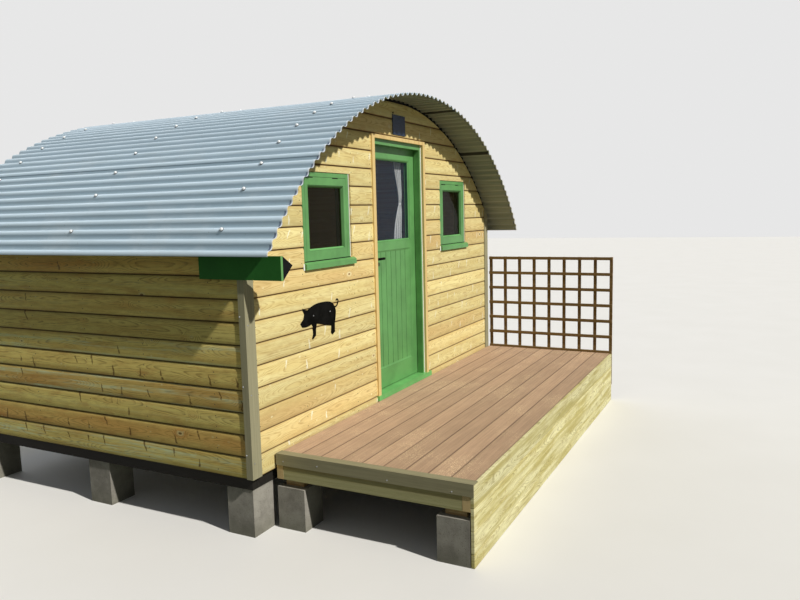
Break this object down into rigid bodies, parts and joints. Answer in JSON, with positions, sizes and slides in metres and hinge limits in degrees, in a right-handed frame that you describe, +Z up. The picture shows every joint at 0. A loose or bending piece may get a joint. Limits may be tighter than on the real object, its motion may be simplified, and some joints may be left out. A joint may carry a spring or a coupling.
{
  "type": "arched-roof timber camping hut",
  "caption": "Timber camping hut with an arched corrugated roof, a half-glazed door opening inwards, windows beside it, and a porch deck with a trellis at its end.",
  "frame": {"origin": "on the ground, under the middle of the hut with its roof and deck", "axes": "+X to the right along the front, +Y from the porch deck to the back wall, +Z up"},
  "size_m": [4.1663, 4.037, 2.7357],
  "materials": {
    "cladding": "pale treated softwood boards",
    "lining": "planed softwood boards",
    "floor_boards": "sealed boards",
    "roof_sheet": "grey-blue coated corrugated steel",
    "green_paint": "satin green paint on timber",
    "dark_green_paint": "satin dark green paint on timber",
    "trim_timber": "planed softwood",
    "composite_trim": "olive-grey wood composite",
    "deck_composite": "ribbed brown wood composite",
    "deck_timber": "green-treated sawn softwood",
    "trellis_stain": "dark brown stained slats",
    "base_timber": "black coated beams",
    "concrete": "dense concrete blocks",
    "glass": "double glazing",
    "black_metal": "black powder coat",
    "steel": "zinc-plated steel",
    "slate": "dark blue-black slate",
    "curtain_fabric": "white woven cotton",
    "lamp_plastic": "black moulding",
    "lamp_lens": "frosted lens"
  },
  "bodies": {
    "hut": {"front_wall_left": "cladding", "front_wall_right": "cladding", "front_wall_over_door": "cladding", "front_wall_under_door": "cladding", "back_wall": "cladding", "left_wall": "cladding", "right_wall": "cladding", "corner_trims": "composite_trim", "floor": "floor_boards", "base_side_beams": "base_timber", "base_cross_beams": "base_timber", "base_piers": "concrete", "roof_boards_left": "lining", "roof_boards_crown": "lining", "roof_boards_right": "lining", "roof_sheet_1": "roof_sheet", "roof_sheet_2": "roof_sheet", "roof_sheet_3": "roof_sheet", "roof_sheet_4": "roof_sheet", "roof_sheet_5": "roof_sheet", "door_frame": "green_paint", "door_sill": "green_paint", "door_trims": "trim_timber", "frame_hinges": "steel", "window_frames": "green_paint", "window_sashes": "green_paint", "window_glass": "glass", "window_sills": "green_paint", "deck_boards": "deck_composite", "deck_fascia": "composite_trim", "deck_rim": "deck_timber", "deck_joists": "deck_timber", "deck_skirt": "deck_timber", "deck_packers": "deck_timber", "deck_piers": "concrete", "trellis": "trellis_stain", "eaves_board": "dark_green_paint", "lamp_body": "lamp_plastic", "lamp_lens": "lamp_lens", "sign_plaque": "slate", "pig_plate": "black_metal"},
    "door": {"door_leaf": "green_paint", "door_glass": "glass", "door_handle_roses": "black_metal", "door_hinges": "steel", "curtain_rod": "black_metal", "door_curtain": "curtain_fabric"},
    "handle": {"door_handle": "black_metal"}
  },
  "joints": [
    {"name": "door_hinge", "type": "hinge", "parent": "hut", "child": "door", "pos_m": [0.402, -0.631, 1.443], "axis": [0, 0, -1], "range_deg": [0, 100]},
    {"name": "handle_turn", "type": "hinge", "parent": "door", "child": "handle", "pos_m": [-0.345, -0.6605, 1.519], "axis": [0, 1, 0], "range_deg": [0, 40], "stiffness_Nm_per_rad": 1, "springref_deg": -22.92}
  ]
}
